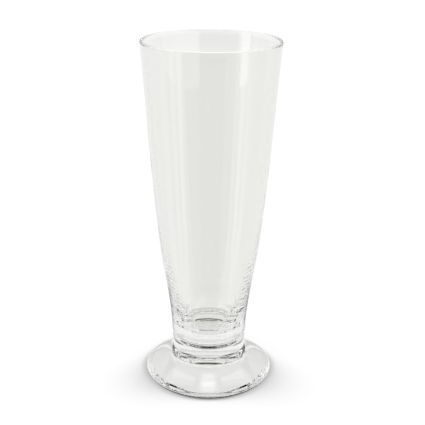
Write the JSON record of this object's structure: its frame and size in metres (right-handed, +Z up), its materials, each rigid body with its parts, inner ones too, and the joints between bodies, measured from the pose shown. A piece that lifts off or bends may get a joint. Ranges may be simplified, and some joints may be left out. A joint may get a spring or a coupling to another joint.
{
  "type": "beer glass",
  "caption": "Tall footed beer glass in clear glass: a tapered bowl with a thick lower wall, a short grooved collar and a wide domed foot that is hollow underneath.",
  "frame": {"origin": "middle of the foot, in the plane of the ring that stands on the table", "axes": "+Z up along the axis of the glass, X and Y any two directions across it"},
  "size_m": [0.0786, 0.0786, 0.203],
  "materials": {
    "bowl_glass": "clear, polished, blown",
    "collar_glass": "clear, polished, solid",
    "foot_glass": "clear, polished, solid"
  },
  "bodies": {
    "root": {"bowl": "bowl_glass", "stem_collar": "collar_glass", "foot": "foot_glass"}
  },
  "joints": []
}
